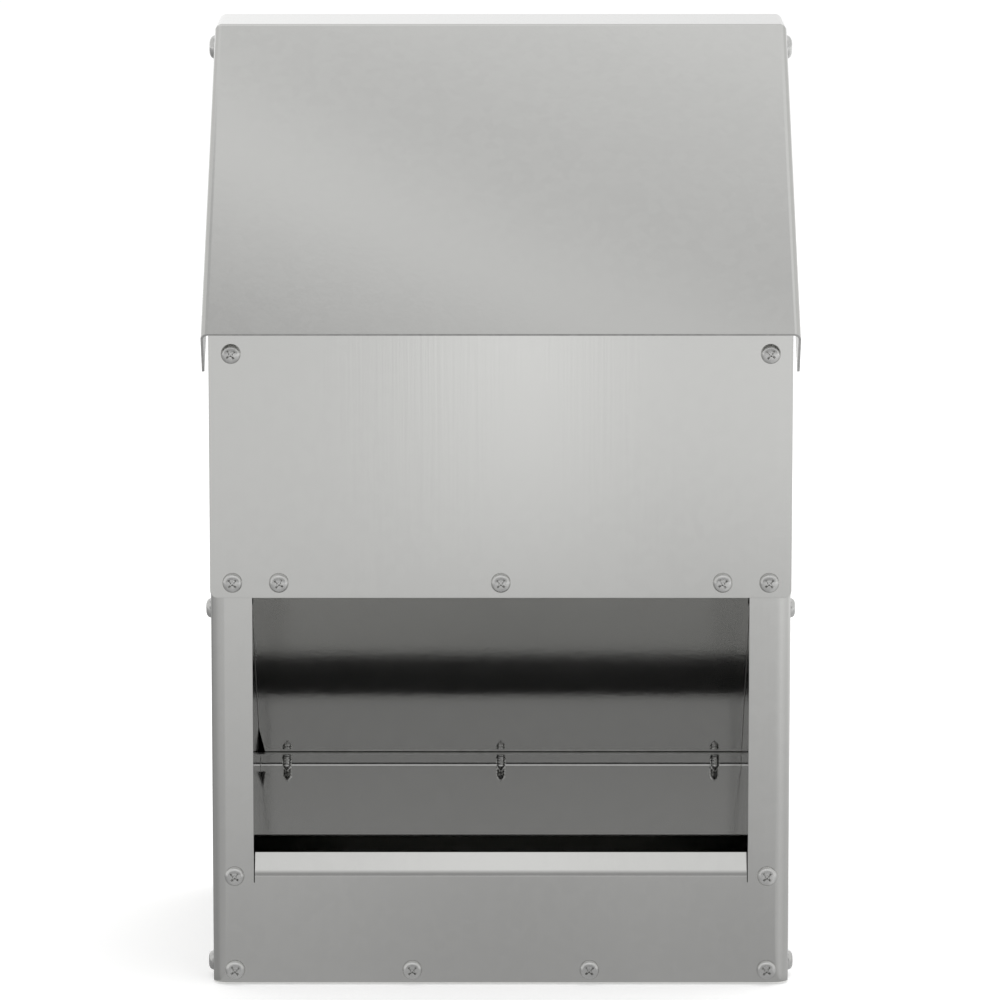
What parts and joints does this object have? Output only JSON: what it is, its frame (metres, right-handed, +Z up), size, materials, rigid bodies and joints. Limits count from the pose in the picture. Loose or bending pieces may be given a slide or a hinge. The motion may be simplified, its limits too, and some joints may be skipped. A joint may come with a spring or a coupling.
{
  "type": "poultry feeder",
  "caption": "Gravity feeder of folded galvanised sheet: hopper with hinged sloping lid over a feeding window, with baffle, deflector, trough cheeks, lip and rear ramp.",
  "frame": {"origin": "on the ground, under the middle of the overall box", "axes": "+Z up, -Y towards the feeding window, +X to the right as seen from the front"},
  "size_m": [0.247, 0.1976, 0.3777],
  "materials": {
    "galvanised_sheet": "smooth galvanised steel, satin",
    "zinc_plated_fastener": "zinc plated",
    "nylon": "natural nylon"
  },
  "bodies": {
    "feeder_body": {"back_edge_screw_left_high": "zinc_plated_fastener", "back_edge_screw_left_low": "zinc_plated_fastener", "back_edge_screw_left_mid": "zinc_plated_fastener", "back_edge_screw_right_high": "zinc_plated_fastener", "back_edge_screw_right_low": "zinc_plated_fastener", "back_edge_screw_right_mid": "zinc_plated_fastener", "back_panel": "galvanised_sheet", "baffle_screw_left": "zinc_plated_fastener", "baffle_screw_middle": "zinc_plated_fastener", "baffle_screw_right": "zinc_plated_fastener", "deflector_screw_left": "zinc_plated_fastener", "deflector_screw_middle": "zinc_plated_fastener", "deflector_screw_right": "zinc_plated_fastener", "feed_deflector": "galvanised_sheet", "floor_pan": "galvanised_sheet", "frame_foot_screw_left": "zinc_plated_fastener", "frame_foot_screw_right": "zinc_plated_fastener", "frame_lip_screw_left": "zinc_plated_fastener", "frame_lip_screw_right": "zinc_plated_fastener", "frame_side_screw_left_high": "zinc_plated_fastener", "frame_side_screw_left_low": "zinc_plated_fastener", "frame_side_screw_right_high": "zinc_plated_fastener", "frame_side_screw_right_low": "zinc_plated_fastener", "front_baffle": "galvanised_sheet", "left_side_panel": "galvanised_sheet", "left_trough_cheek": "galvanised_sheet", "lid_pivot_nut_left": "zinc_plated_fastener", "lid_pivot_nut_right": "zinc_plated_fastener", "lid_pivot_screw_left": "zinc_plated_fastener", "lid_pivot_screw_right": "zinc_plated_fastener", "lid_pivot_spacer_left": "nylon", "lid_pivot_spacer_right": "nylon", "lid_pivot_washer_left": "zinc_plated_fastener", "lid_pivot_washer_right": "zinc_plated_fastener", "lower_front_frame": "galvanised_sheet", "pan_back_screw_left": "zinc_plated_fastener", "pan_back_screw_right": "zinc_plated_fastener", "pan_front_screw_left": "zinc_plated_fastener", "pan_front_screw_right": "zinc_plated_fastener", "panel_corner_screw_left": "zinc_plated_fastener", "panel_corner_screw_right": "zinc_plated_fastener", "ramp_screw_left": "zinc_plated_fastener", "ramp_screw_right": "zinc_plated_fastener", "rear_feed_ramp": "galvanised_sheet", "right_side_panel": "galvanised_sheet", "right_trough_cheek": "galvanised_sheet", "upper_corner_screw_left": "zinc_plated_fastener", "upper_corner_screw_right": "zinc_plated_fastener", "upper_front_panel": "galvanised_sheet"},
    "lid": {"lid_hood": "galvanised_sheet"}
  },
  "joints": [
    {"name": "lid_hinge", "type": "hinge", "parent": "feeder_body", "child": "lid", "pos_m": [0, 0.0848, 0.3649], "axis": [-1, 0, 0], "range_deg": [0, 99]}
  ]
}
